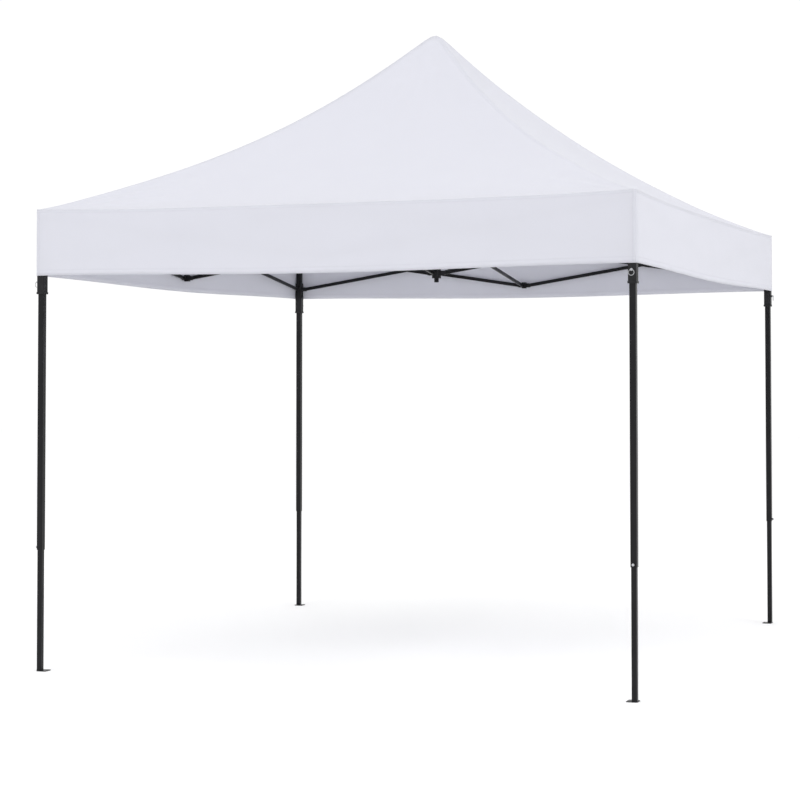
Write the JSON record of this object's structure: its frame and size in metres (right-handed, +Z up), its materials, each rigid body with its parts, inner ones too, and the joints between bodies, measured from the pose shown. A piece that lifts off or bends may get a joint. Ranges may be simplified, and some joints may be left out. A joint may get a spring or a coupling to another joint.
{
  "type": "pop up canopy",
  "caption": "Folding shelter with a scissor truss frame on telescopic legs, a central mast and a white pyramid roof cover with valances.",
  "frame": {"origin": "on the ground at the centre of the plan, frame open", "axes": "+Z up, -Y toward the front side, +X toward the right side"},
  "size_m": [3.0696, 3.0696, 3.277],
  "materials": {
    "black_tube": "satin black powder coat on steel tube",
    "black_casting": "black moulded fittings",
    "silver_steel": "bare bright steel pins",
    "white_cloth": "coated woven polyester"
  },
  "bodies": {
    "upper_hub": {"upper_hub": "black_casting", "cover": "white_cloth"},
    "arm_up_0": {"arm_up_0": "black_tube"},
    "mid_lower_0": {"mid_lower_0": "black_casting"},
    "arm_down_0": {"arm_down_0": "black_tube"},
    "mid_upper_0": {"mid_upper_0": "black_casting"},
    "lower_hub": {"lower_hub": "black_casting"},
    "mast": {"mast": "black_tube"},
    "bar_a_up_0": {"bar_a_up_0": "black_tube"},
    "bar_a_down_0": {"bar_a_down_0": "black_tube"},
    "outer_leg_0": {"outer_leg_0": "black_tube", "top_bracket_0": "black_casting"},
    "slider_0": {"slider_0": "black_casting"},
    "bar_b_up_0": {"bar_b_up_0": "black_tube"},
    "bar_b_down_0": {"bar_b_down_0": "black_tube"},
    "inner_leg_0": {"inner_leg_0": "black_tube"},
    "leg_pin_0": {"leg_pin_0": "silver_steel"},
    "slider_pin_0": {"slider_pin_0": "silver_steel"},
    "arm_up_1": {"arm_up_1": "black_tube"},
    "mid_lower_1": {"mid_lower_1": "black_casting"},
    "arm_down_1": {"arm_down_1": "black_tube"},
    "mid_upper_1": {"mid_upper_1": "black_casting"},
    "bar_a_up_1": {"bar_a_up_1": "black_tube"},
    "bar_a_down_1": {"bar_a_down_1": "black_tube"},
    "outer_leg_1": {"outer_leg_1": "black_tube", "top_bracket_1": "black_casting"},
    "slider_1": {"slider_1": "black_casting"},
    "bar_b_up_1": {"bar_b_up_1": "black_tube"},
    "bar_b_down_1": {"bar_b_down_1": "black_tube"},
    "inner_leg_1": {"inner_leg_1": "black_tube"},
    "leg_pin_1": {"leg_pin_1": "silver_steel"},
    "slider_pin_1": {"slider_pin_1": "silver_steel"},
    "arm_up_2": {"arm_up_2": "black_tube"},
    "mid_lower_2": {"mid_lower_2": "black_casting"},
    "arm_down_2": {"arm_down_2": "black_tube"},
    "mid_upper_2": {"mid_upper_2": "black_casting"},
    "bar_a_up_2": {"bar_a_up_2": "black_tube"},
    "bar_a_down_2": {"bar_a_down_2": "black_tube"},
    "outer_leg_2": {"outer_leg_2": "black_tube", "top_bracket_2": "black_casting"},
    "slider_2": {"slider_2": "black_casting"},
    "bar_b_up_2": {"bar_b_up_2": "black_tube"},
    "bar_b_down_2": {"bar_b_down_2": "black_tube"},
    "inner_leg_2": {"inner_leg_2": "black_tube"},
    "leg_pin_2": {"leg_pin_2": "silver_steel"},
    "slider_pin_2": {"slider_pin_2": "silver_steel"},
    "arm_up_3": {"arm_up_3": "black_tube"},
    "mid_lower_3": {"mid_lower_3": "black_casting"},
    "arm_down_3": {"arm_down_3": "black_tube"},
    "mid_upper_3": {"mid_upper_3": "black_casting"},
    "bar_a_up_3": {"bar_a_up_3": "black_tube"},
    "bar_a_down_3": {"bar_a_down_3": "black_tube"},
    "outer_leg_3": {"outer_leg_3": "black_tube", "top_bracket_3": "black_casting"},
    "slider_3": {"slider_3": "black_casting"},
    "bar_b_up_3": {"bar_b_up_3": "black_tube"},
    "bar_b_down_3": {"bar_b_down_3": "black_tube"},
    "inner_leg_3": {"inner_leg_3": "black_tube"},
    "leg_pin_3": {"leg_pin_3": "silver_steel"},
    "slider_pin_3": {"slider_pin_3": "silver_steel"}
  },
  "joints": [
    {"name": "fold", "type": "hinge", "parent": "upper_hub", "child": "arm_up_0", "pos_m": [0.0055, -0.04487, 2.21], "axis": [1, 0, 0], "range_deg": [0, 78.22], "deforming": ["cover"]},
    {"name": "mid_lower_turn_0", "type": "hinge", "parent": "arm_up_0", "child": "mid_lower_0", "pos_m": [0.0055, -1.46993, 1.99], "axis": [-1, 0, 0], "range_deg": [0, 78.72]},
    {"name": "arm_cross_0", "type": "hinge", "parent": "arm_up_0", "child": "arm_down_0", "pos_m": [0, -0.7574, 2.1], "axis": [-1, 0, 0], "range_deg": [0, 156.94]},
    {"name": "mid_upper_turn_0", "type": "hinge", "parent": "arm_down_0", "child": "mid_upper_0", "pos_m": [-0.0055, -1.46993, 2.21], "axis": [1, 0, 0], "range_deg": [0, 78.72]},
    {"name": "lower_hub_turn", "type": "hinge", "parent": "arm_down_0", "child": "lower_hub", "pos_m": [-0.0055, -0.04487, 1.99], "axis": [1, 0, 0], "range_deg": [0, 78.72]},
    {"name": "mast_slide", "type": "slide", "parent": "lower_hub", "child": "mast", "axis": [0, 0, 1], "range_m": [0, 0.227]},
    {"name": "bar_a_turn_0", "type": "hinge", "parent": "mid_upper_0", "child": "bar_a_up_0", "pos_m": [-0.03007, -1.4945, 2.21], "axis": [0, -1, 0], "range_deg": [0, 78.72]},
    {"name": "bar_a_cross_0", "type": "hinge", "parent": "bar_a_up_0", "child": "bar_a_down_0", "pos_m": [-0.7426, -1.5, 2.1], "axis": [0, 1, 0], "range_deg": [0, 156.94]},
    {"name": "leg_turn_0", "type": "hinge", "parent": "bar_a_down_0", "child": "outer_leg_0", "pos_m": [-1.45513, -1.5055, 2.21], "axis": [0, -1, 0], "range_deg": [0, 78.72]},
    {"name": "slider_turn_0", "type": "hinge", "parent": "bar_a_up_0", "child": "slider_0", "pos_m": [-1.45513, -1.4945, 1.99], "axis": [0, 1, 0], "range_deg": [0, 78.72]},
    {"name": "bar_b_turn_0", "type": "hinge", "parent": "mid_upper_0", "child": "bar_b_up_0", "pos_m": [0.03007, -1.4945, 2.21], "axis": [0, 1, 0], "range_deg": [0, 78.72]},
    {"name": "bar_b_cross_0", "type": "hinge", "parent": "bar_b_up_0", "child": "bar_b_down_0", "pos_m": [0.7426, -1.5, 2.1], "axis": [0, -1, 0], "range_deg": [0, 156.94]},
    {"name": "leg_slide_0", "type": "slide", "parent": "outer_leg_0", "child": "inner_leg_0", "axis": [0, 0, 1], "range_m": [0, 0.58]},
    {"name": "leg_pin_pull_0", "type": "slide", "parent": "outer_leg_0", "child": "leg_pin_0", "axis": [-1, 0, 0], "range_m": [0, 0.006], "stiffness_N_per_m": 800, "springref_m": -0.004},
    {"name": "slider_pin_pull_0", "type": "slide", "parent": "slider_0", "child": "slider_pin_0", "axis": [-1, 0, 0], "range_m": [0, 0.006], "stiffness_N_per_m": 800, "springref_m": -0.004},
    {"name": "arm_up_turn_1", "type": "hinge", "parent": "upper_hub", "child": "arm_up_1", "pos_m": [0.04487, 0.0055, 2.21], "axis": [0, 1, 0], "range_deg": [0, 78.72]},
    {"name": "mid_lower_turn_1", "type": "hinge", "parent": "arm_up_1", "child": "mid_lower_1", "pos_m": [1.46993, 0.0055, 1.99], "axis": [0, -1, 0], "range_deg": [0, 78.72]},
    {"name": "arm_cross_1", "type": "hinge", "parent": "arm_up_1", "child": "arm_down_1", "pos_m": [0.7574, 0, 2.1], "axis": [0, -1, 0], "range_deg": [0, 156.94]},
    {"name": "mid_upper_turn_1", "type": "hinge", "parent": "arm_down_1", "child": "mid_upper_1", "pos_m": [1.46993, -0.0055, 2.21], "axis": [0, 1, 0], "range_deg": [0, 78.72]},
    {"name": "bar_a_turn_1", "type": "hinge", "parent": "mid_upper_1", "child": "bar_a_up_1", "pos_m": [1.4945, -0.03007, 2.21], "axis": [1, 0, 0], "range_deg": [0, 78.72]},
    {"name": "bar_a_cross_1", "type": "hinge", "parent": "bar_a_up_1", "child": "bar_a_down_1", "pos_m": [1.5, -0.7426, 2.1], "axis": [-1, 0, 0], "range_deg": [0, 156.94]},
    {"name": "leg_turn_1", "type": "hinge", "parent": "bar_a_down_1", "child": "outer_leg_1", "pos_m": [1.5055, -1.45513, 2.21], "axis": [1, 0, 0], "range_deg": [0, 78.72]},
    {"name": "slider_turn_1", "type": "hinge", "parent": "bar_a_up_1", "child": "slider_1", "pos_m": [1.4945, -1.45513, 1.99], "axis": [-1, 0, 0], "range_deg": [0, 78.72]},
    {"name": "bar_b_turn_1", "type": "hinge", "parent": "mid_upper_1", "child": "bar_b_up_1", "pos_m": [1.4945, 0.03007, 2.21], "axis": [-1, 0, 0], "range_deg": [0, 78.72]},
    {"name": "bar_b_cross_1", "type": "hinge", "parent": "bar_b_up_1", "child": "bar_b_down_1", "pos_m": [1.5, 0.7426, 2.1], "axis": [1, 0, 0], "range_deg": [0, 156.94]},
    {"name": "leg_slide_1", "type": "slide", "parent": "outer_leg_1", "child": "inner_leg_1", "axis": [0, 0, 1], "range_m": [0, 0.58]},
    {"name": "leg_pin_pull_1", "type": "slide", "parent": "outer_leg_1", "child": "leg_pin_1", "axis": [0, -1, 0], "range_m": [0, 0.006], "stiffness_N_per_m": 800, "springref_m": -0.004},
    {"name": "slider_pin_pull_1", "type": "slide", "parent": "slider_1", "child": "slider_pin_1", "axis": [0, -1, 0], "range_m": [0, 0.006], "stiffness_N_per_m": 800, "springref_m": -0.004},
    {"name": "arm_up_turn_2", "type": "hinge", "parent": "upper_hub", "child": "arm_up_2", "pos_m": [-0.0055, 0.04487, 2.21], "axis": [-1, 0, 0], "range_deg": [0, 78.72]},
    {"name": "mid_lower_turn_2", "type": "hinge", "parent": "arm_up_2", "child": "mid_lower_2", "pos_m": [-0.0055, 1.46993, 1.99], "axis": [1, 0, 0], "range_deg": [0, 78.72]},
    {"name": "arm_cross_2", "type": "hinge", "parent": "arm_up_2", "child": "arm_down_2", "pos_m": [0, 0.7574, 2.1], "axis": [1, 0, 0], "range_deg": [0, 156.94]},
    {"name": "mid_upper_turn_2", "type": "hinge", "parent": "arm_down_2", "child": "mid_upper_2", "pos_m": [0.0055, 1.46993, 2.21], "axis": [-1, 0, 0], "range_deg": [0, 78.72]},
    {"name": "bar_a_turn_2", "type": "hinge", "parent": "mid_upper_2", "child": "bar_a_up_2", "pos_m": [0.03007, 1.4945, 2.21], "axis": [0, 1, 0], "range_deg": [0, 78.72]},
    {"name": "bar_a_cross_2", "type": "hinge", "parent": "bar_a_up_2", "child": "bar_a_down_2", "pos_m": [0.7426, 1.5, 2.1], "axis": [0, -1, 0], "range_deg": [0, 156.94]},
    {"name": "leg_turn_2", "type": "hinge", "parent": "bar_a_down_2", "child": "outer_leg_2", "pos_m": [1.45513, 1.5055, 2.21], "axis": [0, 1, 0], "range_deg": [0, 78.72]},
    {"name": "slider_turn_2", "type": "hinge", "parent": "bar_a_up_2", "child": "slider_2", "pos_m": [1.45513, 1.4945, 1.99], "axis": [0, -1, 0], "range_deg": [0, 78.72]},
    {"name": "bar_b_turn_2", "type": "hinge", "parent": "mid_upper_2", "child": "bar_b_up_2", "pos_m": [-0.03007, 1.4945, 2.21], "axis": [0, -1, 0], "range_deg": [0, 78.72]},
    {"name": "bar_b_cross_2", "type": "hinge", "parent": "bar_b_up_2", "child": "bar_b_down_2", "pos_m": [-0.7426, 1.5, 2.1], "axis": [0, 1, 0], "range_deg": [0, 156.94]},
    {"name": "leg_slide_2", "type": "slide", "parent": "outer_leg_2", "child": "inner_leg_2", "axis": [0, 0, 1], "range_m": [0, 0.58]},
    {"name": "leg_pin_pull_2", "type": "slide", "parent": "outer_leg_2", "child": "leg_pin_2", "axis": [1, 0, 0], "range_m": [0, 0.006], "stiffness_N_per_m": 800, "springref_m": -0.004},
    {"name": "slider_pin_pull_2", "type": "slide", "parent": "slider_2", "child": "slider_pin_2", "axis": [1, 0, 0], "range_m": [0, 0.006], "stiffness_N_per_m": 800, "springref_m": -0.004},
    {"name": "arm_up_turn_3", "type": "hinge", "parent": "upper_hub", "child": "arm_up_3", "pos_m": [-0.04487, -0.0055, 2.21], "axis": [0, -1, 0], "range_deg": [0, 78.72]},
    {"name": "mid_lower_turn_3", "type": "hinge", "parent": "arm_up_3", "child": "mid_lower_3", "pos_m": [-1.46993, -0.0055, 1.99], "axis": [0, 1, 0], "range_deg": [0, 78.72]},
    {"name": "arm_cross_3", "type": "hinge", "parent": "arm_up_3", "child": "arm_down_3", "pos_m": [-0.7574, 0, 2.1], "axis": [0, 1, 0], "range_deg": [0, 156.94]},
    {"name": "mid_upper_turn_3", "type": "hinge", "parent": "arm_down_3", "child": "mid_upper_3", "pos_m": [-1.46993, 0.0055, 2.21], "axis": [0, -1, 0], "range_deg": [0, 78.72]},
    {"name": "bar_a_turn_3", "type": "hinge", "parent": "mid_upper_3", "child": "bar_a_up_3", "pos_m": [-1.4945, 0.03007, 2.21], "axis": [-1, 0, 0], "range_deg": [0, 78.72]},
    {"name": "bar_a_cross_3", "type": "hinge", "parent": "bar_a_up_3", "child": "bar_a_down_3", "pos_m": [-1.5, 0.7426, 2.1], "axis": [1, 0, 0], "range_deg": [0, 156.94]},
    {"name": "leg_turn_3", "type": "hinge", "parent": "bar_a_down_3", "child": "outer_leg_3", "pos_m": [-1.5055, 1.45513, 2.21], "axis": [-1, 0, 0], "range_deg": [0, 78.72]},
    {"name": "slider_turn_3", "type": "hinge", "parent": "bar_a_up_3", "child": "slider_3", "pos_m": [-1.4945, 1.45513, 1.99], "axis": [1, 0, 0], "range_deg": [0, 78.72]},
    {"name": "bar_b_turn_3", "type": "hinge", "parent": "mid_upper_3", "child": "bar_b_up_3", "pos_m": [-1.4945, -0.03007, 2.21], "axis": [1, 0, 0], "range_deg": [0, 78.72]},
    {"name": "bar_b_cross_3", "type": "hinge", "parent": "bar_b_up_3", "child": "bar_b_down_3", "pos_m": [-1.5, -0.7426, 2.1], "axis": [-1, 0, 0], "range_deg": [0, 156.94]},
    {"name": "leg_slide_3", "type": "slide", "parent": "outer_leg_3", "child": "inner_leg_3", "axis": [0, 0, 1], "range_m": [0, 0.58]},
    {"name": "leg_pin_pull_3", "type": "slide", "parent": "outer_leg_3", "child": "leg_pin_3", "axis": [0, 1, 0], "range_m": [0, 0.006], "stiffness_N_per_m": 800, "springref_m": -0.004},
    {"name": "slider_pin_pull_3", "type": "slide", "parent": "slider_3", "child": "slider_pin_3", "axis": [0, 1, 0], "range_m": [0, 0.006], "stiffness_N_per_m": 800, "springref_m": -0.004}
  ],
  "couplings": [
    {"joint": "mid_lower_turn_0", "follows": "fold", "ratio": 1},
    {"joint": "arm_cross_0", "follows": "fold", "ratio": 2},
    {"joint": "mid_upper_turn_0", "follows": "fold", "ratio": 1},
    {"joint": "lower_hub_turn", "follows": "fold", "ratio": 1},
    {"joint": "mast_slide", "follows": "fold", "m_per_rad": 0.16554},
    {"joint": "bar_a_turn_0", "follows": "fold", "ratio": 1},
    {"joint": "bar_a_cross_0", "follows": "fold", "ratio": 2},
    {"joint": "leg_turn_0", "follows": "fold", "ratio": 1},
    {"joint": "slider_turn_0", "follows": "fold", "ratio": 1},
    {"joint": "bar_b_turn_0", "follows": "fold", "ratio": 1},
    {"joint": "bar_b_cross_0", "follows": "fold", "ratio": 2},
    {"joint": "arm_up_turn_1", "follows": "fold", "ratio": 1},
    {"joint": "mid_lower_turn_1", "follows": "fold", "ratio": 1},
    {"joint": "arm_cross_1", "follows": "fold", "ratio": 2},
    {"joint": "mid_upper_turn_1", "follows": "fold", "ratio": 1},
    {"joint": "bar_a_turn_1", "follows": "fold", "ratio": 1},
    {"joint": "bar_a_cross_1", "follows": "fold", "ratio": 2},
    {"joint": "leg_turn_1", "follows": "fold", "ratio": 1},
    {"joint": "slider_turn_1", "follows": "fold", "ratio": 1},
    {"joint": "bar_b_turn_1", "follows": "fold", "ratio": 1},
    {"joint": "bar_b_cross_1", "follows": "fold", "ratio": 2},
    {"joint": "arm_up_turn_2", "follows": "fold", "ratio": 1},
    {"joint": "mid_lower_turn_2", "follows": "fold", "ratio": 1},
    {"joint": "arm_cross_2", "follows": "fold", "ratio": 2},
    {"joint": "mid_upper_turn_2", "follows": "fold", "ratio": 1},
    {"joint": "bar_a_turn_2", "follows": "fold", "ratio": 1},
    {"joint": "bar_a_cross_2", "follows": "fold", "ratio": 2},
    {"joint": "leg_turn_2", "follows": "fold", "ratio": 1},
    {"joint": "slider_turn_2", "follows": "fold", "ratio": 1},
    {"joint": "bar_b_turn_2", "follows": "fold", "ratio": 1},
    {"joint": "bar_b_cross_2", "follows": "fold", "ratio": 2},
    {"joint": "arm_up_turn_3", "follows": "fold", "ratio": 1},
    {"joint": "mid_lower_turn_3", "follows": "fold", "ratio": 1},
    {"joint": "arm_cross_3", "follows": "fold", "ratio": 2},
    {"joint": "mid_upper_turn_3", "follows": "fold", "ratio": 1},
    {"joint": "bar_a_turn_3", "follows": "fold", "ratio": 1},
    {"joint": "bar_a_cross_3", "follows": "fold", "ratio": 2},
    {"joint": "leg_turn_3", "follows": "fold", "ratio": 1},
    {"joint": "slider_turn_3", "follows": "fold", "ratio": 1},
    {"joint": "bar_b_turn_3", "follows": "fold", "ratio": 1},
    {"joint": "bar_b_cross_3", "follows": "fold", "ratio": 2}
  ]
}
